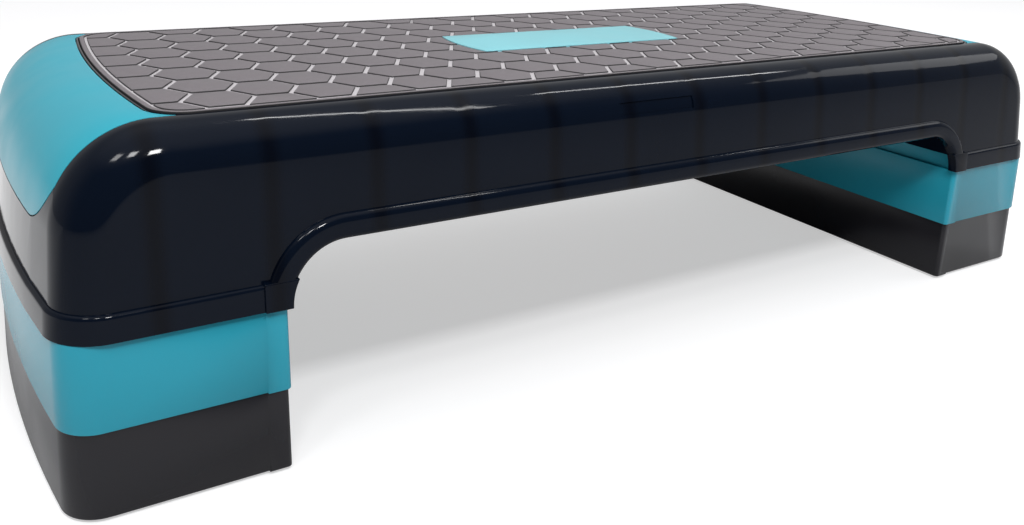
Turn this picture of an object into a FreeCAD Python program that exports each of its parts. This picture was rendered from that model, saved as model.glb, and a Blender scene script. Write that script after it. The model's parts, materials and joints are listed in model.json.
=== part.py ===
import FreeCAD, Part
import math
import os

Vector = FreeCAD.Vector

# Aerobic step: a hollow deck on two pairs of plug-in risers.
# X runs along the length, the front is at -Y, Z is up, and the origin is on the floor under the middle.

# Driving dimensions, in millimetres and degrees

# Whole object
overall_length = 880.0
overall_width = 356.0
deck_height = 106.5
riser_step = 50.0
end_bow_radius = 1105.0
leg_length = 136.0

# Deck shell
side_wall = 3.0
top_wall = 3.0
end_draft = 5.0
side_draft = 5.0
shoulder_radius = 58.0
roll_radius = 27.0
arch_height = 33.5
flange_height = 15.0
flange_proud = 2.5
flange_edge_radius = 1.8
lip_proud = 1.5
lip_edge_radius = 3.0
rib_wall = 2.5
rib_pitch = 62.5
long_rib_spacing = 70.0
rib_headroom = 15.0
label_length = 65.0
label_height = 8.0
label_depth = 0.8
label_offset = -39.0
label_drop = 13.0

# Tread mat
mat_end_margin = 67.0
mat_side_margin = 40.5
mat_corner_radius = 22.0
mat_sheet = 2.7
mat_proud = 1.0
mat_clearance = 0.8
mat_border = 3.5
border_groove = 2.0
tile_height = 0.8
tile_pitch = 37.5
tile_groove = 3.0

# Centre plate
plate_length = 204.0
plate_width = 70.0
plate_end_radius = 130.0
plate_proud = 0.6
plate_clearance = 0.3

# End caps
cap_wall = 1.8
cap_gap = 0.3
cap_bed_gap = 0.2
cap_ridge = 1.5
cap_side_trim = 1.5
cap_drop = 54.5
cap_tip_radius = 36.0
cap_peg_diameter = 6.0
cap_peg_reach = 5.0
cap_peg_spacing = 160.0
cap_peg_drop = 28.0

# Risers
riser_wall = 3.5
riser_draft = 1.5
rim_setback = 1.2
corner_radius = 22.0
inner_corner_radius = 3.0
least_corner_radius = 0.5
plug_height = 13.0
plug_clearance = 0.5
pilaster_width = 14.0
riser_rib_lift = 20.0

# Rubber feet, foot posts and wells
foot_proud = 2.0
foot_diameter = 20.0
foot_seat = 0.5
foot_edge_chamfer = 0.6
foot_stem_diameter = 14.0
foot_stem_length = 10.0
foot_stem_clearance = 0.1
post_diameter = 22.0
post_from_inner_face = 30.0
post_from_end = 40.0
post_from_side = 40.0
well_clearance = 1.0

# Levels and reaches that follow from them
half_length = overall_length / 2
leg_inner = half_length - leg_length
flange_half_width = overall_width / 2 - lip_proud
wall_half_length = half_length - flange_proud
wall_half_width = flange_half_width - flange_proud
deck_rim_z = foot_proud + 2 * riser_step
tread_top_z = deck_rim_z + deck_height
mat_length = overall_length - 2 * mat_end_margin
mat_width = overall_width - 2 * mat_side_margin
deck_top_z = tread_top_z - mat_proud
tile_floor_z = tread_top_z - tile_height
mat_floor_z = tile_floor_z - mat_sheet
deck_ceiling_z = mat_floor_z - top_wall
arch_top_z = deck_rim_z + arch_height
rib_floor_z = arch_top_z + rib_headroom
plug_room = plug_height + plug_clearance
leg_ceiling_z = deck_rim_z + plug_room + 2 * plug_clearance
cap_bed_depth = cap_wall + cap_bed_gap
end_wall = side_wall + cap_bed_depth
riser_end = half_length - rim_setback
riser_side = flange_half_width - rim_setback
riser_inner = leg_inner + rim_setback
plug_inset = riser_wall + plug_clearance + plug_room * math.tan(math.radians(riser_draft))
post_x_values = (half_length - post_from_end, leg_inner + post_from_inner_face)
post_y = overall_width / 2 - post_from_side
well_diameter = post_diameter + 2 * well_clearance
well_depth = plug_height + foot_proud + well_clearance

# How far cutting blocks reach past what they cut, and how close two points must be to count as one
reach = overall_length
overshoot = 5.0
close = 0.01


def box(x_low, x_high, y_low, y_high, z_low, z_high):
    return Part.makeBox(x_high - x_low, y_high - y_low, z_high - z_low, Vector(x_low, y_low, z_low))


def upright_cylinder(x, y, z_low, z_high, diameter):
    return Part.makeCylinder(diameter / 2, z_high - z_low, Vector(x, y, z_low))


def mirrored(shape):
    return shape.mirror(Vector(0, 0, 0), Vector(1, 0, 0))


def fused(first, others):
    return first.multiFuse(others).removeSplitter()


def face_from(curves):
    return Part.Face(Part.Wire([curve.toShape() for curve in curves]))


def upright_edges(body, low_z, high_z):
    spans = [(edge, [vertex.Z for vertex in edge.Vertexes]) for edge in body.Edges]
    return [edge for edge, levels in spans if min(levels) < low_z + close and max(levels) > high_z - close]


def top_face(body):
    return max(body.Faces, key=lambda face: face.CenterOfMass.z)


# Wide disc about an upright axis, whose drafted and round-shouldered rim is one bowed end of the object
def end_disc(side, end_reach, base_z, draft, low_z, high_z, shoulder):
    axis_x = side * (half_length - end_bow_radius)
    slope = math.tan(math.radians(draft))
    half_turn = math.radians(45 + draft / 2)
    tangent = shoulder / math.tan(half_turn)

    def at(radius, z):
        return Vector(axis_x - side * radius, 0, z)

    def wall_radius(z):
        return end_bow_radius - half_length + end_reach - slope * (z - base_z)

    arc_low_z = high_z - tangent * math.cos(math.radians(draft))
    top_radius = wall_radius(high_z) - tangent
    bend_z = high_z - shoulder + shoulder * math.sin(half_turn)
    low_centre = at(0, low_z)
    low_rim = at(wall_radius(low_z), low_z)
    arc_low = at(wall_radius(arc_low_z), arc_low_z)
    arc_bend = at(top_radius + shoulder * math.cos(half_turn), bend_z)
    arc_high = at(top_radius, high_z)
    high_centre = at(0, high_z)
    profile = [
        Part.LineSegment(low_centre, low_rim),
        Part.LineSegment(low_rim, arc_low),
        Part.Arc(arc_low, arc_bend, arc_high),
        Part.LineSegment(arc_high, high_centre),
        Part.LineSegment(high_centre, low_centre),
    ]
    return face_from(profile).revolve(Vector(axis_x, 0, 0), Vector(0, 0, 1), 360)


# Long block along X whose two sides lean in towards the top
def side_slab(side_reach, base_z, draft, low_z, high_z):
    slope = math.tan(math.radians(draft))
    low_y = side_reach - slope * (low_z - base_z)
    high_y = side_reach - slope * (high_z - base_z)
    corners = [(-low_y, low_z), (low_y, low_z), (high_y, high_z), (-high_y, high_z), (-low_y, low_z)]
    outline = Part.makePolygon([Vector(-reach, y, z) for y, z in corners])
    return Part.Face(outline).extrude(Vector(2 * reach, 0, 0))


# Whole deck body with its rolled front and back edges, grown outwards at the ends, the sides and the top
def deck_form(end_grow, side_grow, top_grow, low_z):
    high_z = deck_top_z + top_grow
    end_reach = wall_half_length + end_grow / math.cos(math.radians(end_draft))
    side_reach = wall_half_width + side_grow / math.cos(math.radians(side_draft))
    shoulder = shoulder_radius + end_grow
    left = end_disc(-1, end_reach, deck_rim_z, end_draft, low_z, high_z, shoulder)
    right = end_disc(1, end_reach, deck_rim_z, end_draft, low_z, high_z, shoulder)
    slab = side_slab(side_reach, deck_rim_z, side_draft, low_z, high_z)
    body = left.common(right).common(slab).removeSplitter()
    slope = math.tan(math.radians(side_draft))

    def on_side(point):
        return abs(side_reach - slope * (point.z - deck_rim_z) - abs(point.y)) < close

    roll_edges = []
    for edge in body.Edges:
        points = edge.discretize(5)
        if edge.BoundBox.ZMax > low_z + close and all(on_side(point) for point in points):
            roll_edges.append(edge)
    return body.makeFillet(roll_radius + side_grow, roll_edges)


def even_deck_form(grow):
    return deck_form(grow, grow, grow, deck_rim_z)


# Left leg block with a bowed end, straight sides and a flat inner face, all leaning in towards the top
def leg_block(grow, base_z, draft, low_z, high_z, extra_side=0.0):
    lean = 1 / math.cos(math.radians(draft))
    slope = math.tan(math.radians(draft))
    end_reach = riser_end + grow * lean
    side_reach = riser_side + extra_side + grow * lean
    inner_reach = riser_inner - grow * lean
    disc = end_disc(-1, end_reach, base_z, draft, low_z, high_z + overshoot, overshoot / 2)
    slab = side_slab(side_reach, base_z, draft, low_z, high_z)
    low_x = -inner_reach - slope * (low_z - base_z)
    high_x = -inner_reach - slope * (high_z - base_z)
    corners = [(-reach, low_z), (low_x, low_z), (high_x, high_z), (-reach, high_z), (-reach, low_z)]
    outline = Part.makePolygon([Vector(x, -reach, z) for x, z in corners])
    inner = Part.Face(outline).extrude(Vector(0, 2 * reach, 0))
    body = disc.common(slab).common(inner).removeSplitter()
    middle_x = -(end_reach + inner_reach) / 2
    outer_edges = [edge for edge in upright_edges(body, low_z, high_z) if edge.CenterOfMass.x < middle_x]
    body = body.makeFillet(corner_radius + grow, outer_edges)
    inner_edges = [edge for edge in upright_edges(body, low_z, high_z) if edge.CenterOfMass.x > middle_x]
    return body.makeFillet(max(inner_corner_radius + grow, least_corner_radius), inner_edges)


# Flat block in the mat's outline: two bowed ends, two straight sides and round corners
def mat_block(grow, low_z, high_z):
    half_width = mat_width / 2 + grow
    end_radius = end_bow_radius - half_length + mat_length / 2 + grow
    body = box(-reach, reach, -half_width, half_width, low_z, high_z)
    for side in (-1, 1):
        axis_x = side * (half_length - end_bow_radius)
        body = body.common(upright_cylinder(axis_x, 0, low_z, high_z, 2 * end_radius))
    body = body.removeSplitter()
    return body.makeFillet(mat_corner_radius + grow, upright_edges(body, low_z, high_z))


# Flat block in the centre plate's outline: straight sides and slightly bowed ends
def plate_block(grow, low_z, high_z):
    half = plate_length / 2 + grow
    half_width = plate_width / 2 + grow
    radius = plate_end_radius + grow
    body = box(-half, half, -half_width, half_width, low_z, high_z)
    for side in (-1, 1):
        body = body.common(upright_cylinder(side * (half - radius), 0, low_z, high_z, 2 * radius))
    return body


# Space over the left end that the cap takes up: past the mat, between the rolls, and round at its lower corners
def cap_space(grow):
    high_z = deck_top_z + 2 * overshoot
    low_z = deck_top_z - cap_drop - grow
    past_mat = mat_clearance + cap_ridge
    side_reach = mat_width / 2 + past_mat - cap_side_trim + grow
    slab = side_slab(side_reach, deck_top_z, side_draft, low_z, high_z)
    half = side_reach + cap_drop * math.tan(math.radians(side_draft))
    above = box(-reach, -overshoot, -half, half, low_z, high_z)
    low_edges = [edge for edge in above.Edges if edge.BoundBox.ZMax < low_z + close]
    tips = [edge for edge in low_edges if edge.BoundBox.YLength < close]
    above = above.makeFillet(cap_tip_radius + grow, tips)
    return slab.common(above).cut(mat_block(past_mat - grow, deck_rim_z, high_z))


# Pegs that hold the left cap in the end wall
def cap_pegs(diameter):
    length = half_length - mat_length / 2 + overshoot
    pegs = []
    for y in (-cap_peg_spacing / 2, cap_peg_spacing / 2):
        start = Vector(-half_length, y, deck_top_z - cap_peg_drop)
        pegs.append(Part.makeCylinder(diameter / 2, length, start, Vector(1, 0, 0)))
    return Part.makeCompound(pegs)


# Opening between the legs, with quarter-round upper corners
def arch_block(grow):
    radius = arch_height + grow
    straight = leg_inner - arch_height
    depth = overall_width + 2 * overshoot
    low_z = deck_rim_z - overshoot
    middle = box(-straight, straight, -depth / 2, depth / 2, low_z, deck_rim_z + radius)
    lower = box(-straight - radius, straight + radius, -depth / 2, depth / 2, low_z, deck_rim_z)
    rounds = []
    for side in (-1, 1):
        start = Vector(side * straight, -depth / 2, deck_rim_z)
        rounds.append(Part.makeCylinder(radius, depth, start, Vector(0, 1, 0)))
    return fused(middle, [lower] + rounds)


# Border flange round the foot of the deck wall, with a rounded upper edge, up to the arch lip
def deck_flange():
    top_z = deck_rim_z + flange_height
    flange = even_deck_form(flange_proud).common(box(-reach, reach, -reach, reach, deck_rim_z, top_z))
    rim = [edge for edge in flange.Edges if edge.BoundBox.ZMin > top_z - close]
    return flange.makeFillet(flange_edge_radius, rim).cut(arch_block(flange_height / 2))


# Lip that follows the arch on the front and back walls, with rounded outer edges
def arch_lip():
    body = deck_form(flange_proud, flange_proud + lip_proud, flange_proud, deck_rim_z)
    lip = body.common(arch_block(flange_height).cut(arch_block(0)))
    faces = [face for face in lip.Faces if abs(face.normalAt(0, 0).y) > 0.9 and face.Area > flange_height**2]
    outer_edges = []
    for face in faces:
        outer_edges += [edge for edge in face.Edges if edge.BoundBox.ZMax > deck_rim_z + close]
    return lip.makeFillet(lip_edge_radius, outer_edges)


# Shallow blank recess in the front roll
def label_recess():
    low_z = deck_top_z - label_drop - label_height
    low_x = label_offset - label_length / 2
    high_x = label_offset + label_length / 2
    block = box(low_x, high_x, -reach, 0, low_z, low_z + label_height)
    return block.cut(even_deck_form(-label_depth))


# Stiffening ribs, cross walls over the legs and foot posts inside the deck
def deck_inside():
    high_z = deck_ceiling_z + top_wall / 2
    half_rib = rib_wall / 2
    pieces = []
    rib_count = int((leg_inner - rib_wall) / rib_pitch)
    for number in range(-rib_count, rib_count + 1):
        x = number * rib_pitch
        pieces.append(box(x - half_rib, x + half_rib, -reach, reach, rib_floor_z, high_z))
    for y in (-long_rib_spacing, 0, long_rib_spacing):
        pieces.append(box(-reach, reach, y - half_rib, y + half_rib, rib_floor_z, high_z))
    for side in (-1, 1):
        x = side * (leg_inner - rib_wall)
        pieces.append(box(x - half_rib, x + half_rib, -reach, reach, leg_ceiling_z, high_z))
        for post_x in post_x_values:
            x = side * post_x
            web = box(x - half_rib, x + half_rib, post_y, reach, leg_ceiling_z, high_z)
            pieces += [web, web.mirror(Vector(0, 0, 0), Vector(0, 1, 0))]
            for y in (-post_y, post_y):
                pieces.append(upright_cylinder(x, y, deck_rim_z + foot_seat, high_z, post_diameter))
    limit = deck_form(-end_wall / 2, -side_wall / 2, high_z - deck_top_z, deck_rim_z)
    return [piece.common(limit) for piece in pieces]


# Deck shell: walls, flange and lip, hollowed out, ribbed, and cut for the arch, mat, caps and feet
def build_deck():
    outside = fused(even_deck_form(0), [deck_flange(), arch_lip()])
    hollow = deck_form(-end_wall, -side_wall, deck_ceiling_z - deck_top_z, deck_rim_z - overshoot)
    socket = leg_block(-riser_wall, deck_rim_z, 0, deck_rim_z - overshoot, deck_rim_z + plug_room)
    shell = outside
    for cutter in (hollow, socket, mirrored(socket), arch_block(0)):
        shell = shell.cut(cutter)
    shell = fused(shell, deck_inside())

    cap_bed = even_deck_form(overshoot).common(cap_space(cap_gap)).cut(even_deck_form(-cap_bed_depth))
    peg_holes = cap_pegs(cap_peg_diameter + 2 * cap_gap)
    bores = []
    for post_x in post_x_values:
        for y in (-post_y, post_y):
            bores.append(upright_cylinder(-post_x, y, deck_rim_z, rib_floor_z, foot_stem_diameter))
    bores = Part.makeCompound(bores)
    for cutter in (cap_bed, peg_holes, bores):
        shell = shell.cut(cutter).cut(mirrored(cutter))
    mat_pocket = mat_block(mat_clearance, mat_floor_z, tread_top_z + overshoot)
    return shell.cut(mat_pocket).cut(label_recess())


# Left end cap: a thin skin over the end shoulder with two pegs on its inside
def build_cap():
    skin = even_deck_form(0).common(cap_space(0)).cut(even_deck_form(-cap_wall))
    peg_start = even_deck_form(-cap_wall / 2)
    peg_end = deck_form(-end_wall - cap_peg_reach, -side_wall, -top_wall, deck_rim_z)
    pegs = cap_pegs(cap_peg_diameter).common(peg_start).cut(peg_end)
    return fused(skin, pegs.Solids)


# Flat hexagon with two sides along X
def hexagon(x, y, flat_to_flat, z):
    radius = flat_to_flat / math.sqrt(3)
    angles = [math.radians(60 * number) for number in range(7)]
    return Part.Face(
        Part.makePolygon([Vector(x + radius * math.cos(a), y + radius * math.sin(a), z) for a in angles])
    )


# Tread mat: a sheet with a border ring and raised hexagon tiles, and a pocket for the plate
def build_mat():
    sheet = mat_block(0, mat_floor_z, tread_top_z)
    ring_inside = top_face(mat_block(-mat_border, mat_floor_z, tread_top_z))
    tile_limit = top_face(mat_block(-mat_border - border_groove, mat_floor_z, tread_top_z))
    column_step = tile_pitch * math.sqrt(3) / 2
    columns = int(mat_length / 2 / column_step) + 1
    rows = int(mat_width / 2 / tile_pitch) + 2
    least_area = tile_pitch * tile_groove
    tiles = []
    for column in range(-columns, columns + 1):
        for row in range(-rows, rows + 1):
            y = (row + (column % 2) / 2) * tile_pitch
            tile = hexagon(column * column_step, y, tile_pitch - tile_groove, tread_top_z)
            tiles += [face for face in tile.common(tile_limit).Faces if face.Area > least_area]
    grooves = ring_inside.cut(Part.makeCompound(tiles)).extrude(Vector(0, 0, -tile_height))
    return sheet.cut(grooves).cut(plate_block(plate_clearance, tile_floor_z, tread_top_z + overshoot))


# Left riser: a drafted hollow block with a plug on top, wells in the plug and foot posts below them
def build_riser(rim_z):
    shoulder_z = rim_z + riser_step
    plug_z = shoulder_z + plug_height
    block = leg_block(0, rim_z, riser_draft, rim_z, shoulder_z)
    pilaster_zone = box(-riser_inner - pilaster_width, 0, -reach, reach, rim_z, shoulder_z)
    pilasters = leg_block(0, rim_z, riser_draft, rim_z, shoulder_z, lip_proud).common(pilaster_zone)
    plug = leg_block(-plug_inset, rim_z, 0, shoulder_z - riser_wall, plug_z)
    hollow = leg_block(-riser_wall, rim_z, riser_draft, rim_z - overshoot, shoulder_z - riser_wall)
    plug_hollow = leg_block(-plug_inset - riser_wall, rim_z, 0, rim_z, plug_z - riser_wall)
    shell = fused(block, [pilasters, plug]).cut(hollow).cut(plug_hollow)

    rib_low_z = rim_z + riser_rib_lift
    half_rib = rib_wall / 2
    middle_x = -(riser_end + riser_inner) / 2
    pieces = [box(middle_x - half_rib, middle_x + half_rib, -reach, reach, rib_low_z, plug_z)]
    for y in (-long_rib_spacing, 0, long_rib_spacing):
        pieces.append(box(-reach, 0, y - half_rib, y + half_rib, rib_low_z, plug_z))
    well_floor_z = plug_z - well_depth
    post_top_z = well_floor_z - riser_wall
    bores = []
    for post_x in post_x_values:
        for y in (-post_y, post_y):
            pieces.append(upright_cylinder(-post_x, y, post_top_z, plug_z, well_diameter + 2 * riser_wall))
            pieces.append(upright_cylinder(-post_x, y, rim_z + foot_seat, well_floor_z, post_diameter))
            bores.append(upright_cylinder(-post_x, y, well_floor_z, plug_z + overshoot, well_diameter))
            bores.append(upright_cylinder(-post_x, y, rim_z, post_top_z, foot_stem_diameter))
    limit = leg_block(-plug_inset - riser_wall / 2, rim_z, 0, rim_z, plug_z - riser_wall / 2)
    shell = fused(shell, [piece.common(limit) for piece in pieces])
    return shell.cut(Part.makeCompound(bores))


# Rubber foot: a round pad with a stem that is pushed into a foot post
def build_foot(x, y, rim_z):
    pad = upright_cylinder(x, y, rim_z - foot_proud, rim_z + foot_seat, foot_diameter)
    lower_edges = [edge for edge in pad.Edges if edge.BoundBox.ZMax < rim_z - foot_proud + close]
    pad = pad.makeChamfer(foot_edge_chamfer, lower_edges)
    stem_diameter = foot_stem_diameter - 2 * foot_stem_clearance
    stem = upright_cylinder(x, y, rim_z, rim_z + foot_seat + foot_stem_length, stem_diameter)
    return pad.fuse(stem).removeSplitter()


parts = {
    "deck_shell": build_deck(),
    "tread_mat": build_mat(),
    "centre_plate": plate_block(0, tile_floor_z, tread_top_z + plate_proud),
    "end_cap_left": build_cap(),
}
parts["end_cap_right"] = mirrored(parts["end_cap_left"])
rim_levels = {"upper_riser": foot_proud + riser_step, "lower_riser": foot_proud}
for name, rim_z in rim_levels.items():
    parts[name + "_left"] = build_riser(rim_z)
    parts[name + "_right"] = mirrored(parts[name + "_left"])
rim_levels["deck"] = deck_rim_z
for name, rim_z in rim_levels.items():
    for side, side_name in ((-1, "left"), (1, "right")):
        for post_x, end_name in zip(post_x_values, ("outer", "inner")):
            for y, face_name in ((-post_y, "front"), (post_y, "back")):
                foot_name = f"foot_{name}_{side_name}_{face_name}_{end_name}"
                parts[foot_name] = build_foot(side * post_x, y, rim_z)

os.makedirs("parts", exist_ok=True)
for name, shape in parts.items():
    print(name, "solids", len(shape.Solids), "valid", shape.isValid(), "volume", round(shape.Volume))
    shape.exportStep(f"parts/{name}.step")
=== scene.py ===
import json
import math

import bmesh
import bpy
from mathutils import Matrix, Vector


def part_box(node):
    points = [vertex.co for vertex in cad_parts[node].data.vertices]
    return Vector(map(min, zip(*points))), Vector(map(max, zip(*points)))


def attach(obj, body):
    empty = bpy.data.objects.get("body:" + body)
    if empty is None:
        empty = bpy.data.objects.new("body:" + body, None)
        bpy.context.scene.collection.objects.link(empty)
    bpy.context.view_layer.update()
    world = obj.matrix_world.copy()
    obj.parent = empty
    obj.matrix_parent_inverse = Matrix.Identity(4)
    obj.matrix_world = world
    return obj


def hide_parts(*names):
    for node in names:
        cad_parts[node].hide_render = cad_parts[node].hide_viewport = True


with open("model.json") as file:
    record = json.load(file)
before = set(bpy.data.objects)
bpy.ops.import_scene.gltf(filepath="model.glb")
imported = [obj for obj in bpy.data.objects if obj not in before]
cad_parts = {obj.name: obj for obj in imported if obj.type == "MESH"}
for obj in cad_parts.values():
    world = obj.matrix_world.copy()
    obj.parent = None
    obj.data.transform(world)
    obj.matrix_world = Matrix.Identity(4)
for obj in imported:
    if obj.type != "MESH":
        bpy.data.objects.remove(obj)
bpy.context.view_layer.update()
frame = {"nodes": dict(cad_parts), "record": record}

mm = 0.001

# Deck shell: one hollow injection moulding of glossy black plastic on two legs with an arch between them.
# Its ends are bowed, its long edges are rolled, a flange runs round its foot and a lip follows the arch.
# Ribs and foot posts stiffen it from below, and its top is let in for the mat and the two end caps.
half_length = 440 * mm
bow_axis = 665 * mm
deck_end = 437.5 * mm
deck_side = 174 * mm
deck_draft = math.radians(5)
deck_rim = 102 * mm
deck_top = 207.5 * mm
deck_ceiling = 202 * mm
shoulder = 58 * mm
roll = 27 * mm
under = 8 * mm
same_place = 0.01 * mm


def start_at(name, point):
    bpy.ops.object.select_all(action="DESELECT")
    bpy.ops.mesh.primitive_plane_add(size=2 * mm, location=point)
    piece = bpy.context.object
    piece.name = name
    bpy.ops.object.transform_apply(location=True)
    bpy.ops.object.mode_set(mode="EDIT")
    bpy.ops.mesh.select_mode(type="VERT")
    bpy.ops.mesh.merge(type="CENTER")
    return piece


def draw_to(piece, *points):
    for point in points:
        mesh = bmesh.from_edit_mesh(piece.data)
        here = next(corner.co.copy() for corner in mesh.verts if corner.select)
        bpy.ops.mesh.extrude_region_move(TRANSFORM_OT_translate={"value": Vector(point) - here})


def arc_round(centre, axis, degrees, steps):
    bpy.ops.mesh.spin(steps=steps, angle=math.radians(degrees), center=centre, axis=axis)


def weld():
    bpy.ops.mesh.select_mode(type="VERT")
    bpy.ops.mesh.select_all(action="SELECT")
    bpy.ops.mesh.remove_doubles(threshold=0.001 * mm)


def select_edges(piece, test):
    bpy.ops.mesh.select_mode(type="EDGE")
    bpy.ops.mesh.select_all(action="DESELECT")
    mesh = bmesh.from_edit_mesh(piece.data)
    for edge in mesh.edges:
        edge.select_set(test(edge.verts[0].co, edge.verts[1].co))
    bmesh.update_edit_mesh(piece.data)


def trim(point, normal, fill=True):
    bpy.ops.mesh.select_mode(type="VERT")
    bpy.ops.mesh.select_all(action="SELECT")
    bpy.ops.mesh.bisect(plane_co=point, plane_no=normal, clear_outer=True, use_fill=fill, threshold=1e-7)


def trim_sides(side_reach, draft, base_z):
    for side in (-1, 1):
        trim((0, side * side_reach, base_z), (0, side * math.cos(draft), math.sin(draft)))


def mirror_ends():
    bpy.ops.object.mode_set(mode="OBJECT")
    bpy.ops.object.modifier_add(type="MIRROR")
    bpy.ops.object.modifier_apply(modifier="Mirror")


def close_up():
    weld()
    bpy.ops.mesh.normals_make_consistent(inside=False)
    bpy.ops.object.mode_set(mode="OBJECT")


# Tells whether both ends of an edge lie on a front or back wall that leans by its draft from the rim upwards
def on_wall(side, draft):
    slope = math.tan(draft)

    def gap(point):
        return abs(side - slope * (point.z - deck_rim) - abs(point.y))

    return lambda a, b: gap(a) < same_place and gap(b) < same_place


# A block with two bowed ends: its end profile is drawn, spun about the far bow axis, mirrored and trimmed.
# The fan's last lines before the side are taken out, so that the rounding of the side has room.
def bowed_block(name, end, side, draft, low_z, high_z, end_round=0, side_round=0, corner_round=0):
    slope = math.tan(draft)
    past_middle = 40 * mm
    fan_degrees = 19
    last_fan_line = math.radians(6.5)
    side_offset = 0.89 * side_round
    corner_offset = 0.885 * corner_round
    on_side = on_wall(side, draft)

    def wall_x(z):
        return slope * (z - deck_rim) - end

    piece = start_at(name, (past_middle, 0, low_z))
    draw_to(piece, (wall_x(low_z), 0, low_z))
    if end_round:
        tangent = end_round / math.tan(math.pi / 4 + draft / 2)
        arc_z = high_z - tangent * math.cos(draft)
        draw_to(piece, (wall_x(arc_z), 0, arc_z))
        centre = (wall_x(high_z) + tangent, 0, high_z - end_round)
        arc_round(centre, (0, -1, 0), 90 - math.degrees(draft), 28)
    else:
        draw_to(piece, (wall_x(high_z), 0, high_z))
    draw_to(piece, (past_middle, 0, high_z))
    weld()
    far_axis = (bow_axis, 0, 0)
    bpy.ops.transform.rotate(value=-math.radians(fan_degrees), orient_axis="Z", center_override=far_axis)
    arc_round(far_axis, (0, 0, 1), 2 * fan_degrees, 2 * fan_degrees)
    weld()
    trim((0, 0, 0), (1, 0, 0), fill=False)
    mirror_ends()
    bpy.ops.object.mode_set(mode="EDIT")
    weld()
    trim_sides(side, draft, deck_rim)

    def near_side(a, b):
        turns = [math.atan2(abs(point.y), bow_axis + abs(point.x)) for point in (a, b)]
        return abs(turns[0] - turns[1]) < 1e-4 and turns[0] > last_fan_line and not on_side(a, b)

    select_edges(piece, near_side)
    bpy.ops.mesh.dissolve_edges()
    if side_round:
        select_edges(piece, lambda a, b: on_side(a, b) and max(a.z, b.z) > low_z + same_place)
        bpy.ops.mesh.bevel(offset=side_offset, segments=20, affect="EDGES", clamp_overlap=False)
    if corner_round:
        select_edges(piece, lambda a, b: on_side(a, b) and abs(a.z - b.z) > (high_z - low_z) / 2)
        bpy.ops.mesh.bevel(offset=corner_offset, segments=10, affect="EDGES", clamp_overlap=False)
    close_up()
    return piece


def deck_form(name, end_grow, side_grow, top_z, low_z=deck_rim - under):
    lean = 1 / math.cos(deck_draft)
    end = deck_end + end_grow * lean
    side = deck_side + side_grow * lean
    return bowed_block(name, end, side, deck_draft, low_z, top_z, shoulder + end_grow, roll + side_grow)


def pick(piece):
    bpy.ops.object.select_all(action="DESELECT")
    piece.select_set(True)
    bpy.context.view_layer.objects.active = piece


def combine(piece, tool, operation, tangled=False):
    pick(piece)
    bpy.ops.object.modifier_add(type="BOOLEAN")
    step = piece.modifiers[-1]
    step.object = tool
    step.operation = operation
    step.solver = "EXACT"
    step.use_self = tangled
    bpy.ops.object.modifier_apply(modifier=step.name)
    bpy.data.objects.remove(tool)


leg_inner = 304 * mm
arch_height = 33.5 * mm
arch_half_depth = 200 * mm


# A block in the shape of the space between the legs, grown outwards, or the band between two such shapes
def arch_block(name, grow, band_inside=None):
    straight = leg_inner - arch_height
    low_z = deck_rim - 2 * under
    front = -arch_half_depth

    def draw_arch(side, radius):
        draw_to(piece, (-side * (straight + radius), front, deck_rim))
        arc_round((-side * straight, front, deck_rim), (0, -side, 0), 90, 20)
        draw_to(piece, (side * straight, front, deck_rim + radius))
        arc_round((side * straight, front, deck_rim), (0, -side, 0), 90, 20)
        draw_to(piece, (side * (straight + radius), front, low_z))

    outer = arch_height + grow
    piece = start_at(name, (-straight - outer, front, low_z))
    draw_arch(1, outer)
    if band_inside is not None:
        inner = arch_height + band_inside
        draw_to(piece, (straight + inner, front, low_z))
        draw_arch(-1, inner)
    weld()
    bpy.ops.mesh.edge_face_add()
    bpy.ops.mesh.extrude_region_move(TRANSFORM_OT_translate={"value": (0, 2 * arch_half_depth, 0)})
    close_up()
    return piece


# Splits a piece's slightly bent faces into flat ones, so that the cut through them is the same on every run
def flat_faced(piece):
    pick(piece)
    bpy.ops.object.mode_set(mode="EDIT")
    bpy.ops.mesh.select_all(action="SELECT")
    bpy.ops.mesh.quads_convert_to_tris(quad_method="BEAUTY", ngon_method="BEAUTY")
    bpy.ops.object.mode_set(mode="OBJECT")
    return piece


lip_overlap = 0.3 * mm
deck = flat_faced(deck_form("deck_moulding", 0, 0, deck_top))
combine(deck, flat_faced(arch_block("arch", lip_overlap)), "DIFFERENCE")

flange_proud = 2.5 * mm
flange_round = 2.3 * mm
flange_from_arch = 7.5 * mm
flange_top = deck_rim + 15 * mm
flange = deck_form("flange", flange_proud, flange_proud, deck_top + flange_proud)
bpy.ops.object.mode_set(mode="EDIT")
trim((0, 0, flange_top), (0, 0, 1))
select_edges(flange, lambda a, b: min(a.z, b.z) > flange_top - same_place)
bpy.ops.mesh.bevel(offset=flange_round, segments=6, affect="EDGES", clamp_overlap=False)
close_up()
combine(flat_faced(flange), flat_faced(arch_block("flange_end", flange_from_arch)), "DIFFERENCE")
combine(deck, flange, "UNION")

lip_width = 15 * mm
lip_proud = 4 * mm
lip_round = 4.6 * mm
lip_side = deck_side + lip_proud / math.cos(deck_draft)
lip = arch_block("lip", lip_width, 0)
bpy.ops.object.mode_set(mode="EDIT")
trim_sides(lip_side, deck_draft, deck_rim)
on_lip_face = on_wall(lip_side, deck_draft)
select_edges(lip, lambda a, b: on_lip_face(a, b) and a.y * b.y > 0 and max(a.z, b.z) > deck_rim - under)
bpy.ops.mesh.bevel(offset=lip_round, segments=8, affect="EDGES", clamp_overlap=False)
close_up()
combine(deck, lip, "UNION")


def add_box(x_low, x_high, y_low, y_high, z_low, z_high):
    low = Vector((x_low, y_low, z_low))
    high = Vector((x_high, y_high, z_high))
    bpy.ops.object.select_all(action="DESELECT")
    bpy.ops.mesh.primitive_cube_add(size=1, location=(low + high) / 2, scale=high - low)
    bpy.ops.object.transform_apply(location=True, scale=True)
    return bpy.context.object


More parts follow.
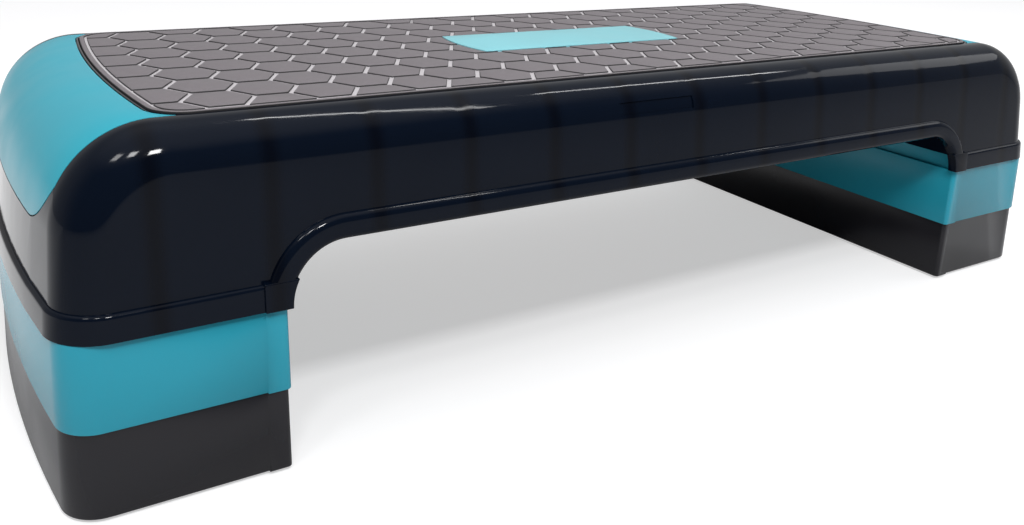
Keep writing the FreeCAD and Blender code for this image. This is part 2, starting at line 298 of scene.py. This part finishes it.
def joined(name, pieces):
    bpy.ops.object.select_all(action="DESELECT")
    for piece in pieces:
        piece.select_set(True)
    bpy.context.view_layer.objects.active = pieces[0]
    bpy.ops.object.join()
    pieces[0].name = name
    return pieces[0]


def round_edges(piece, width, segments, degrees):
    pick(piece)
    bpy.ops.object.modifier_add(type="BEVEL")
    rounding = piece.modifiers[-1]
    rounding.width = width
    rounding.segments = segments
    rounding.limit_method = "ANGLE"
    rounding.angle_limit = math.radians(degrees)
    bpy.ops.object.modifier_apply(modifier=rounding.name)


# Small round-edged blocks at the feet of the lip, where it lands on the flange
block_proud = 4.2 * mm
block_near = 290 * mm
block_far = 320 * mm
block_top = flange_top + 1.2 * mm
block_overlap = 0.15 * mm
block_round = 1.6 * mm
foot_blocks = deck_form("foot_blocks", block_proud, block_proud, deck_top)
bpy.ops.object.mode_set(mode="EDIT")
trim((0, 0, block_top), (0, 0, 1))
close_up()
block_reach = []
for x_low, x_high in ((-block_far, -block_near), (block_near, block_far)):
    block_reach.append(add_box(x_low, x_high, -arch_half_depth, arch_half_depth, deck_rim - under, deck_top))
combine(foot_blocks, joined("block_reach", block_reach), "INTERSECT")
combine(foot_blocks, arch_block("block_inside", block_overlap), "DIFFERENCE")
round_edges(foot_blocks, width=block_round, segments=4, degrees=40)
combine(deck, foot_blocks, "UNION")

end_wall = 5 * mm
side_wall = 3 * mm
hollow_floor = deck_rim - 3 * under
combine(deck, deck_form("hollow", -end_wall, -side_wall, deck_ceiling, hollow_floor), "DIFFERENCE")

# Sockets in the feet of the legs, which take the plugs of the risers
socket_end = 435.3 * mm
socket_side = 171.8 * mm
socket_inner = 308.7 * mm
socket_top = deck_rim + 13.5 * mm
socket_corner = 18.5 * mm
socket = bowed_block(
    "sockets", socket_end, socket_side, 0, hollow_floor, socket_top, corner_round=socket_corner
)
bpy.ops.object.mode_set(mode="EDIT")
trim((-socket_inner, 0, 0), (1, 0, 0))
mirror_ends()
combine(deck, socket, "DIFFERENCE")


def add_post(x, y, z_low, z_high, diameter):
    bpy.ops.object.select_all(action="DESELECT")
    bpy.ops.mesh.primitive_cylinder_add(
        vertices=32, radius=diameter / 2, depth=z_high - z_low, location=(x, y, (z_low + z_high) / 2)
    )
    bpy.ops.object.transform_apply(location=True)
    return bpy.context.object


rib_floor = 150.5 * mm
rib_top = 203.5 * mm
leg_rib_floor = 116.5 * mm
half_rib = 1.25 * mm
rib_pitch = 62.5 * mm
long_rib_y = 70 * mm
leg_rib_x = 301.5 * mm
post_x = (400 * mm, 334 * mm)
post_y = 138 * mm
post_width = 22 * mm
post_foot = deck_rim + 0.5 * mm
stiffeners = []
for number in range(-4, 5):
    x = number * rib_pitch
    stiffeners.append(add_box(x - half_rib, x + half_rib, -deck_side, deck_side, rib_floor, rib_top))
for y in (-long_rib_y, 0, long_rib_y):
    stiffeners.append(add_box(-half_length, half_length, y - half_rib, y + half_rib, rib_floor, rib_top))
for side in (-1, 1):
    x = side * leg_rib_x
    stiffeners.append(add_box(x - half_rib, x + half_rib, -deck_side, deck_side, leg_rib_floor, rib_top))
    for distance in post_x:
        x = side * distance
        for y_low, y_high in ((-deck_side, -post_y), (post_y, deck_side)):
            stiffeners.append(add_box(x - half_rib, x + half_rib, y_low, y_high, leg_rib_floor, rib_top))
        for y in (-post_y, post_y):
            stiffeners.append(add_post(x, y, post_foot, rib_top, post_width))
ribs = joined("ribs", stiffeners)
combine(ribs, deck_form("rib_limit", -end_wall / 2, -side_wall / 2, rib_top), "INTERSECT", tangled=True)
combine(deck, ribs, "UNION", tangled=True)

mat_end = 373 * mm
mat_side = 137.5 * mm
mat_corner = 22 * mm
mat_gap = 0.8 * mm
mat_floor = 205 * mm


def mat_block(name, grow, low_z, high_z):
    corner = mat_corner + grow
    return bowed_block(name, mat_end + grow, mat_side + grow, 0, low_z, high_z, corner_round=corner)


cap_drop = 54.5 * mm
cap_tip = 36 * mm
cap_side = 138.3 * mm
cap_from_mat = 2.3 * mm
cap_space_end = 100 * mm
clear_above = 10 * mm


# The space over both ends that the caps take up: past the mat, between the rolls, round at its lower corners
def cap_space(name, grow):
    low_z = deck_top - cap_drop - grow
    high_z = deck_top + clear_above
    tip = cap_tip + grow
    side = cap_side + grow
    half = side + cap_drop * math.tan(deck_draft)
    far = -2 * half_length
    piece = start_at(name, (far, -half, high_z))
    draw_to(piece, (far, -half, low_z + tip))
    arc_round((far, tip - half, low_z + tip), (1, 0, 0), -90, 16)
    draw_to(piece, (far, half - tip, low_z))
    arc_round((far, half - tip, low_z + tip), (1, 0, 0), -90, 16)
    draw_to(piece, (far, half, high_z))
    weld()
    bpy.ops.mesh.edge_face_add()
    reach = 2 * half_length - cap_space_end
    bpy.ops.mesh.extrude_region_move(TRANSFORM_OT_translate={"value": (reach, 0, 0)})
    trim_sides(side, deck_draft, deck_top)
    close_up()
    mirror_ends()
    mat_edge = mat_block(name + "_mat", cap_from_mat - grow, deck_rim, high_z + clear_above)
    combine(piece, mat_edge, "DIFFERENCE")
    return piece


bed_gap = 0.3 * mm
bed_depth = 2 * mm
cap_beds = cap_space("cap_beds", bed_gap)
combine(cap_beds, deck_form("bed_floor", -bed_depth, -bed_depth, deck_top - bed_depth), "DIFFERENCE")
combine(deck, cap_beds, "DIFFERENCE")
combine(deck, mat_block("mat_pocket", mat_gap, mat_floor, deck_top + clear_above), "DIFFERENCE")

# A shallow blank recess in the front wall, just below the roll
recess_x = (-71.5 * mm, -6.5 * mm)
recess_z = (186.5 * mm, 194.5 * mm)
recess_depth = 0.8 * mm
recess = add_box(*recess_x, -arch_half_depth, 0, *recess_z)
recess_floor = deck_form("recess_floor", -recess_depth, -recess_depth, deck_top - recess_depth)
combine(recess, recess_floor, "DIFFERENCE")
combine(deck, recess, "DIFFERENCE")

foot_bore = 14 * mm
cut_floor = 70 * mm
holes = []
for side in (-1, 1):
    for distance in post_x:
        for y in (-post_y, post_y):
            holes.append(add_post(side * distance, y, deck_rim - 2 * under, rib_floor, foot_bore))
combine(deck, joined("foot_bores", holes), "DIFFERENCE")
past_end = half_length + under
below = add_box(-past_end, past_end, -arch_half_depth, arch_half_depth, cut_floor, deck_rim)
combine(deck, below, "DIFFERENCE")


def add_pin(x, y, z, length, diameter):
    bpy.ops.object.select_all(action="DESELECT")
    bpy.ops.mesh.primitive_cylinder_add(
        vertices=24, radius=diameter / 2, depth=length, location=(x, y, z), rotation=(0, math.pi / 2, 0)
    )
    bpy.ops.object.transform_apply(location=True, rotation=True)
    return bpy.context.object


peg_y = 80 * mm
peg_z = deck_top - 28 * mm
peg_places = [(side, y) for side in (-1, 1) for y in (-peg_y, peg_y)]
peg_hole_x = 420 * mm
peg_hole_length = 30 * mm
peg_hole_width = 6.6 * mm
peg_holes = [add_pin(side * peg_hole_x, y, peg_z, peg_hole_length, peg_hole_width) for side, y in peg_places]
combine(deck, joined("peg_holes", peg_holes), "DIFFERENCE")


def smooth(piece, degrees):
    pick(piece)
    bpy.ops.object.shade_smooth_by_angle(angle=math.radians(degrees))


smooth(deck, degrees=35)


# A finish starts as a plain shader with the piece's own coordinates at hand
def start_finish(name):
    finish = bpy.data.materials.new(name)
    finish.use_nodes = True
    place = finish.node_tree.nodes.new("ShaderNodeTexCoord")
    return finish, finish.node_tree.nodes["Principled BSDF"], place.outputs["Object"]


def grain(finish, place, size, detail):
    noise = finish.node_tree.nodes.new("ShaderNodeTexNoise")
    noise.inputs["Scale"].default_value = 1 / size
    noise.inputs["Detail"].default_value = detail
    finish.node_tree.links.new(place, noise.inputs["Vector"])
    return noise.outputs["Fac"]


noise_span = (0.3, 0.7)


def ranged(finish, value, low, high, out_low=0.0, out_high=1.0):
    step = finish.node_tree.nodes.new("ShaderNodeMapRange")
    step.interpolation_type = "SMOOTHSTEP"
    step.inputs["From Min"].default_value = low
    step.inputs["From Max"].default_value = high
    step.inputs["To Min"].default_value = out_low
    step.inputs["To Max"].default_value = out_high
    finish.node_tree.links.new(value, step.inputs["Value"])
    return step.outputs["Result"]


def tinted(finish, factor, first, second):
    mix = finish.node_tree.nodes.new("ShaderNodeMix")
    mix.data_type = "RGBA"
    finish.node_tree.links.new(factor, mix.inputs["Factor"])
    for socket, colour in ((6, first), (7, second)):
        if isinstance(colour, tuple):
            mix.inputs[socket].default_value = (*colour, 1)
        else:
            finish.node_tree.links.new(colour, mix.inputs[socket])
    return mix.outputs[2]


def embossed(finish, height, depth, under_it=None):
    bump = finish.node_tree.nodes.new("ShaderNodeBump")
    bump.inputs["Strength"].default_value = 1
    bump.inputs["Distance"].default_value = depth
    finish.node_tree.links.new(height, bump.inputs["Height"])
    if under_it is not None:
        finish.node_tree.links.new(under_it, bump.inputs["Normal"])
    return bump.outputs["Normal"]


def along(finish, place, axis):
    parts = finish.node_tree.nodes.new("ShaderNodeSeparateXYZ")
    finish.node_tree.links.new(place, parts.inputs["Vector"])
    return parts.outputs[axis]


def worked_out(finish, operation, first, second):
    step = finish.node_tree.nodes.new("ShaderNodeMath")
    step.operation = operation
    for socket, value in zip(step.inputs, (first, second)):
        if isinstance(value, float):
            socket.default_value = value
        else:
            finish.node_tree.links.new(value, socket)
    return step.outputs[0]


# Polished black plastic, slightly blue with soft smears and a faint wave in the wall; the blue is partly its
# own tint and partly a painted reflection of the dim bluish room in front. Over each rib it has a sink mark
# and a band of painted shade.
gloss_black, shader, place = start_finish("deck_gloss_black")
links = gloss_black.node_tree.links
smears = grain(gloss_black, place, 60 * mm, 6)
polish = ranged(gloss_black, grain(gloss_black, place, 25 * mm, 8), 0.35, 0.7, 0.05, 0.11)
links.new(polish, shader.inputs["Roughness"])
shader.inputs["IOR"].default_value = 1.24
from_rib = worked_out(gloss_black, "PINGPONG", along(gloss_black, place, "X"), rib_pitch / 2)
sink_width = 9 * mm
rib_sink_and_painted_shade_bands = ranged(gloss_black, from_rib, 0, sink_width)
# Panel colours: partly the plastic's own blue-black, partly a painted bluish reflection
panels = tinted(gloss_black, smears, (0.0013, 0.0035, 0.0092), (0.0024, 0.0054, 0.0128))
# Darker over each rib: painted shade standing in for the darker reflection over the sink marks
links.new(tinted(gloss_black, rib_sink_and_painted_shade_bands, (0.0009, 0.0019, 0.0052), panels), shader.inputs["Base Color"])
sink_marks = embossed(gloss_black, rib_sink_and_painted_shade_bands, 0.05 * mm)
wall_wave = embossed(gloss_black, grain(gloss_black, place, 90 * mm, 1), 0.15 * mm, sink_marks)
skin_peel = embossed(gloss_black, grain(gloss_black, place, 2.5 * mm, 2), 0.0025 * mm, wall_wave)
links.new(skin_peel, shader.inputs["Normal"])
deck.data.materials.clear()
deck.data.materials.append(gloss_black)

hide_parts("deck_shell")
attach(deck, "deck")

# Tread mat: one moulded sheet of dark grey rubber with raised flat hexagon tiles and a border ring.
# It is bonded into the deck top. The tile edges are worn slightly round. The tile tops are lighter than the
# rubber, a painted sheen; the smoother groove floors are pale, a painted reflection; the steep walls are
# dark, a painted shade.
sharp_turn = math.radians(50)


# A copy of a CAD node's mesh, merged, with the sharp outer edges that pass the test eased
def eased_copy(node, name, width, segments, test):
    piece = bpy.data.objects.new(name, frame["nodes"][node].data.copy())
    bpy.context.scene.collection.objects.link(piece)
    pick(piece)
    bpy.ops.object.mode_set(mode="EDIT")
    weld()
    bpy.ops.mesh.dissolve_limited(angle_limit=math.radians(0.2))
    bpy.ops.mesh.select_mode(type="EDGE")
    bpy.ops.mesh.select_all(action="DESELECT")
    mesh = bmesh.from_edit_mesh(piece.data)
    for edge in mesh.edges:
        sharp = len(edge.link_faces) == 2 and edge.is_convex and edge.calc_face_angle() > sharp_turn
        edge.select_set(sharp and test(edge.verts[0].co, edge.verts[1].co))
    bmesh.update_edit_mesh(piece.data)
    bpy.ops.mesh.bevel(offset=width, segments=segments, affect="EDGES", clamp_overlap=True)
    bpy.ops.object.mode_set(mode="OBJECT")
    smooth(piece, degrees=32)
    piece.data.materials.clear()
    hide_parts(node)
    return piece


tread_top = 208.5 * mm
tile_ease = 0.35 * mm
level_play = 0.02 * mm


def at_level(level):
    return lambda a, b: abs(a.z - level) < level_play and abs(b.z - level) < level_play


mat = eased_copy("tread_mat", "tread_mat_rubber", tile_ease, 2, at_level(tread_top))
rubber, shader, place = start_finish("tread_rubber")
links = rubber.node_tree.links
patches = grain(rubber, place, 140 * mm, 3)
fine = grain(rubber, place, 0.9 * mm, 3)
# Tile colour: random patches, all lifted above the rubber's own dark grey as a painted sheen
tile_patches_and_painted_sheen = tinted(rubber, patches, (0.180, 0.155, 0.169), (0.188, 0.174, 0.183))
tile_grain = tinted(rubber, ranged(rubber, fine, *noise_span), (0.140, 0.126, 0.135), tile_patches_and_painted_sheen)
links.new(tile_grain, shader.inputs["Base Color"])
links.new(ranged(rubber, fine, *noise_span, 0.46, 0.56), shader.inputs["Roughness"])
links.new(embossed(rubber, fine, 0.035 * mm), shader.inputs["Normal"])


# A finish with soft clouds, or a dusting, in its colour and its roughness
def clouded_finish(name, size, detail, colours, roughness):
    finish, shader, place = start_finish(name)
    clouds = grain(finish, place, size, detail)
    finish.node_tree.links.new(tinted(finish, clouds, *colours), shader.inputs["Base Color"])
    finish.node_tree.links.new(ranged(finish, clouds, *noise_span, *roughness), shader.inputs["Roughness"])
    return finish, shader, place


# Groove floors: pale, a painted reflection of the bright room in the glossy floors
groove_painted_reflection_colours = ((0.50, 0.47, 0.49), (0.60, 0.57, 0.59))
groove_painted_reflection_rubber = clouded_finish("tread_groove_floor_painted_reflection", 3 * mm, 4, groove_painted_reflection_colours, (0.16, 0.24))[0]
# Groove walls and all other steep faces: near black, a painted shade
groove_wall_painted_shade_colours = ((0.016, 0.015, 0.016), (0.030, 0.028, 0.030))
groove_wall_painted_shade_rubber = clouded_finish("tread_groove_wall_painted_shade", 2 * mm, 3, groove_wall_painted_shade_colours, (0.55, 0.7))[0]

for finish in (rubber, groove_painted_reflection_rubber, groove_wall_painted_shade_rubber):
    mat.data.materials.append(finish)
# Steep faces take the painted shade, low flat faces between the tiles the pale painted reflection
facing_up = 0.95
groove_level = tread_top - 0.5 * mm
for face in mat.data.polygons:
    if face.normal.z < facing_up:
        face.material_index = 2
    elif face.center.z < groove_level:
        face.material_index = 1
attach(mat, "deck")

# Centre plate: a light teal moulded plate with slightly bowed ends, bonded into its pocket in the mat.
# It is satin, flat and bare, with an eased upper edge.
plate_top = 209.1 * mm
plate_ease = 0.45 * mm
plate = eased_copy("centre_plate", "centre_plate_satin", plate_ease, 3, at_level(plate_top))


# The fine grain that a mould leaves on a piece
def add_mould_grain(finish, shader, place, size, depth):
    skin = embossed(finish, grain(finish, place, size, 2), depth)
    finish.node_tree.links.new(skin, shader.inputs["Normal"])


plate_colours = ((0.200, 0.545, 0.605), (0.240, 0.590, 0.650))
pale_teal, shader, place = clouded_finish("plate_pale_teal", 50 * mm, 4, plate_colours, (0.32, 0.42))
add_mould_grain(pale_teal, shader, place, 0.7 * mm, 0.012 * mm)
plate.data.materials.append(pale_teal)
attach(plate, "deck")

# End caps: thin teal inlays moulded to the end shoulders, held by two pegs each in holes of the deck wall.
# They lie flush with the rolls, with a fine dark seam all round. Each peg ends halfway into its cap.
cap_seam = 0.5 * mm
cap_thickness = 1.8 * mm
half_cap = cap_thickness / 2
caps = deck_form("caps", 0, 0, deck_top)
combine(caps, cap_space("cap_outline", -cap_seam), "INTERSECT")
combine(caps, deck_form("cap_inside", -cap_thickness, -cap_thickness, deck_top - cap_thickness), "DIFFERENCE")
peg_x = 421.7 * mm
peg_length = 20 * mm
peg_width = 6 * mm
pegs = [add_pin(side * peg_x, y, peg_z, peg_length, peg_width) for side, y in peg_places]
cap_pegs = joined("cap_pegs", pegs)
combine(cap_pegs, deck_form("peg_limit", -half_cap, -half_cap, deck_top - half_cap), "INTERSECT")
combine(caps, cap_pegs, "UNION")
bpy.ops.object.mode_set(mode="EDIT")
weld()
bpy.ops.mesh.separate(type="LOOSE")
bpy.ops.object.mode_set(mode="OBJECT")
cap_pieces = list(bpy.context.selected_objects)

satin_ior = 1.42
cap_colours = ((0.010, 0.345, 0.450), (0.024, 0.385, 0.490))
satin_teal, shader, place = clouded_finish("cap_satin_teal", 45 * mm, 4, cap_colours, (0.28, 0.37))
shader.inputs["IOR"].default_value = satin_ior

cap_ease = 0.8 * mm
for cap in cap_pieces:
    side_name = "left" if cap.data.vertices[0].co.x < 0 else "right"
    cap.name = "end_cap_inlay_" + side_name
    round_edges(cap, width=cap_ease, segments=3, degrees=55)
    smooth(cap, degrees=35)
    cap.data.materials.clear()
    cap.data.materials.append(satin_teal)
    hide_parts("end_cap_" + side_name)
    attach(cap, "deck")

# Risers: two pairs of hollow drafted blocks, each with a plug on top that sits in the leg or riser above.
# The upper pair is moulded in teal and the lower pair in charcoal black, both satin with a fine mould grain.
riser_clouds = 70 * mm
riser_grain = 0.8 * mm
teal_colours = ((0.013, 0.313, 0.424), (0.022, 0.347, 0.463))
riser_teal, shader, place = clouded_finish("riser_satin_teal", riser_clouds, 4, teal_colours, (0.20, 0.27))
shader.inputs["IOR"].default_value = satin_ior
add_mould_grain(riser_teal, shader, place, riser_grain, 0.012 * mm)

black_colours = ((0.0095, 0.0090, 0.0118), (0.0140, 0.0135, 0.0172))
riser_black, shader, place = clouded_finish(
    "riser_satin_charcoal", riser_clouds, 4, black_colours, (0.21, 0.27)
)
shader.inputs["IOR"].default_value = satin_ior
add_mould_grain(riser_black, shader, place, riser_grain, 0.014 * mm)

riser_height = 50 * mm
plug_top = 63 * mm
riser_ease = 0.6 * mm
riser_rims = {"upper_riser": 52 * mm, "lower_riser": 2 * mm}
riser_finishes = {"upper_riser": (riser_teal, "riser_teal"), "lower_riser": (riser_black, "riser_black")}
for riser_name, rim in riser_rims.items():
    levels = [at_level(rim), at_level(rim + riser_height), at_level(rim + plug_top)]

    def on_riser_edge(a, b):
        return any(level(a, b) for level in levels)

    for side_name in ("left", "right"):
        node = f"{riser_name}_{side_name}"
        riser = eased_copy(node, node + "_block", riser_ease, 3, on_riser_edge)
        finish, slot = riser_finishes[riser_name]
        riser.data.materials.append(finish)
        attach(riser, node)

# Rubber feet: round black pads, each with a ring groove in its sole and a stem pushed into a foot post.
# There are four under each deck leg and four under each riser.
sole = -2 * mm
pad_radius = 10 * mm
pad_height = 2.5 * mm
sole_round = 0.6 * mm
sole_rim = 2.2 * mm
groove_slope = 0.4 * mm
groove_depth = 0.6 * mm
groove_width = 1.2 * mm
stem_inset = 3.1 * mm
stem_length = 9.4 * mm
stem_lead = 0.6 * mm
stem_tip = 0.92
bpy.ops.object.select_all(action="DESELECT")
bpy.ops.mesh.primitive_cylinder_add(
    vertices=40, radius=pad_radius, depth=pad_height, location=(0, 0, sole + pad_height / 2)
)
foot = bpy.context.object
bpy.ops.object.transform_apply(location=True)


# Selects the flat faces that point up, or down where the way is -1
def select_flat_faces(piece, way):
    bpy.ops.mesh.select_mode(type="FACE")
    bpy.ops.mesh.select_all(action="DESELECT")
    mesh = bmesh.from_edit_mesh(piece.data)
    for face in mesh.faces:
        face.select_set(way * face.normal.z > 0.99)
    bmesh.update_edit_mesh(piece.data)


bpy.ops.object.mode_set(mode="EDIT")
select_edges(foot, at_level(sole))
bpy.ops.mesh.bevel(offset=sole_round, segments=3, affect="EDGES")
select_flat_faces(foot, -1)
bpy.ops.mesh.inset(thickness=sole_rim)
bpy.ops.mesh.inset(thickness=groove_slope, depth=-groove_depth)
bpy.ops.mesh.inset(thickness=groove_width)
bpy.ops.mesh.inset(thickness=groove_slope, depth=groove_depth)
select_flat_faces(foot, 1)
bpy.ops.mesh.inset(thickness=stem_inset)
for rise in (stem_length, stem_lead):
    bpy.ops.mesh.extrude_region_move(TRANSFORM_OT_translate={"value": (0, 0, rise)})
bpy.ops.transform.resize(value=(stem_tip, stem_tip, 1))
close_up()
smooth(foot, degrees=35)

foot_colours = ((0.014, 0.014, 0.015), (0.034, 0.033, 0.033))
foot_rubber, shader, place = clouded_finish("foot_rubber_black", 4 * mm, 4, foot_colours, (0.6, 0.8))
add_mould_grain(foot_rubber, shader, place, 0.5 * mm, 0.03 * mm)
foot.data.materials.append(foot_rubber)

for body_name, members in frame["record"]["behaviour"]["bodies"].items():
    for node in members:
        if not node.startswith("foot_"):
            continue
        low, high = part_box(node)
        pad = bpy.data.objects.new(node + "_pad", foot.data.copy())
        pad.data.transform(Matrix.Translation(((low.x + high.x) / 2, (low.y + high.y) / 2, low.z - sole)))
        bpy.context.scene.collection.objects.link(pad)
        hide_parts(node)
        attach(pad, body_name)
bpy.data.objects.remove(foot)

# Studio floor: a wide plain pale sheet that the object stands on and that keeps its soft shadow.
# What the camera sees of it is lifted to white, and so is what gloss shows of it behind the object and past
# its left end. The light on the object stays as it is.
floor_size = 8
floor_lift = 0.5
bpy.ops.object.select_all(action="DESELECT")
bpy.ops.mesh.primitive_plane_add(size=floor_size)
floor = bpy.context.object
floor.name = "studio_floor"
pale_floor, shader, place = start_finish("studio_floor_pale")
nodes = pale_floor.node_tree.nodes
links = pale_floor.node_tree.links
floor_patches = grain(pale_floor, place, 900 * mm, 2)
floor_shade = tinted(pale_floor, floor_patches, (0.58, 0.58, 0.585), (0.60, 0.60, 0.605))
links.new(floor_shade, shader.inputs["Base Color"])
shader.inputs["Roughness"].default_value = 0.9
shader.inputs["Specular IOR Level"].default_value = 0.2
past_left_end = ranged(pale_floor, along(pale_floor, place, "X"), -0.43, -0.50)
past_front = ranged(pale_floor, along(pale_floor, place, "Y"), -0.15, 0.10)
beside = worked_out(pale_floor, "MULTIPLY", past_left_end, past_front)
behind = ranged(pale_floor, along(pale_floor, place, "Y"), 0.25, 0.40)
backdrop = worked_out(pale_floor, "MAXIMUM", beside, behind)
ray = nodes.new("ShaderNodeLightPath")
mirrored = worked_out(pale_floor, "MULTIPLY", ray.outputs["Is Glossy Ray"], backdrop)
seen = worked_out(pale_floor, "MAXIMUM", ray.outputs["Is Camera Ray"], mirrored)
glow = nodes.new("ShaderNodeEmission")
links.new(worked_out(pale_floor, "MULTIPLY", seen, floor_lift), glow.inputs["Strength"])
both = nodes.new("ShaderNodeAddShader")
links.new(shader.outputs[0], both.inputs[0])
links.new(glow.outputs[0], both.inputs[1])
links.new(both.outputs[0], nodes["Material Output"].inputs["Surface"])
floor.data.materials.append(pale_floor)

# Studio room: pale behind and at the sides, bright overhead, dim and bluish in front.
# The camera itself sees it as plain white.
pale_wall = (0.46, 0.46, 0.46)
dim_front = (0.14, 0.145, 0.165)
bright_ceiling = (0.92, 0.92, 0.94)
room = bpy.data.worlds.new("studio_room")
bpy.context.scene.world = room
room.use_nodes = True
nodes = room.node_tree.nodes
links = room.node_tree.links
direction = nodes.new("ShaderNodeTexCoord").outputs["Generated"]
front = nodes.new("ShaderNodeVectorMath")
front.operation = "DOT_PRODUCT"
front.inputs[1].default_value = Vector((-0.2, -0.97, 0.12)).normalized()
links.new(direction, front.inputs[0])
walls = tinted(room, ranged(room, front.outputs["Value"], -0.1, 0.6), pale_wall, dim_front)
overhead = ranged(room, along(room, direction, "Z"), 0.66, 0.96)
lit_room = tinted(room, overhead, walls, bright_ceiling)
ray = nodes.new("ShaderNodeLightPath")
seen_room = tinted(room, ray.outputs["Is Camera Ray"], lit_room, (1, 1, 1))
links.new(seen_room, nodes["Background"].inputs["Color"])


# Lamps: two long ceiling tubes, three small square lamps at the front left and a large soft one on the right.
# Their reflections draw the thin bright streaks along the front roll and the spots on the left corner.
def ceiling_lamp(start, end, width, brightness):
    start = Vector(start)
    end = Vector(end)
    bpy.ops.object.light_add(type="AREA", location=(start + end) / 2)
    lamp = bpy.context.object
    lamp.data.shape = "RECTANGLE"
    lamp.data.size = (end - start).length
    lamp.data.size_y = width
    lamp.data.energy = math.pi * lamp.data.size * width * brightness
    run = (end - start).normalized()
    lamp.rotation_euler = Matrix((run, Vector((0, 0, 1)).cross(run), (0, 0, 1))).transposed().to_euler()


tube_width = 0.07
tube_brightness = 26
ceiling_lamp((0.30, 0.75, 2.2), (1.05, -0.70, 2.2), tube_width, tube_brightness)
ceiling_lamp((1.25, 0.35, 2.2), (2.40, 0.05, 2.2), tube_width, tube_brightness)


def aimed_lamp(place, size, watts):
    bpy.ops.object.light_add(type="AREA", location=place)
    lamp = bpy.context.object
    lamp.data.size = size
    lamp.data.energy = watts
    lamp.rotation_euler = (-lamp.location).to_track_quat("-Z", "Y").to_euler()


square_lamp = 0.35
soft_lamp = 1.10
aimed_lamp((-1.60, -0.90, 2.5), square_lamp, 8)
aimed_lamp((-1.05, -1.40, 2.6), square_lamp, 15)
aimed_lamp((-0.35, -1.80, 2.4), square_lamp, 36)
aimed_lamp((3.30, -0.85, 2.1), soft_lamp, 7)

# Camera: a phone-height view of the left front corner, from a little above the deck.
# The photograph is cropped from the lower part of a larger frame, so the lens is shifted to match.
focal_pixels = 919.7
frame_pixels = (1024, 525)
lens_centre_pixels = (462, 120)
camera_place = (-0.4645, -0.6234, 0.3334)
camera_turn = 30.59
camera_tilt = 14.52
camera_roll = 2.15

bpy.ops.object.camera_add(location=camera_place)
camera = bpy.context.object
facing = Matrix.Rotation(math.radians(-camera_turn), 3, "Z")
facing = facing @ Matrix.Rotation(math.radians(90 - camera_tilt), 3, "X")
facing = facing @ Matrix.Rotation(math.radians(camera_roll), 3, "Z")
camera.rotation_euler = facing.to_euler()
camera.data.sensor_width = 36
camera.data.lens = focal_pixels * camera.data.sensor_width / frame_pixels[0]
camera.data.shift_x = (frame_pixels[0] / 2 - lens_centre_pixels[0]) / frame_pixels[0]
camera.data.shift_y = (lens_centre_pixels[1] - frame_pixels[1] / 2) / frame_pixels[0]
bpy.context.scene.camera = camera

bpy.context.scene.view_settings.view_transform = "Standard"
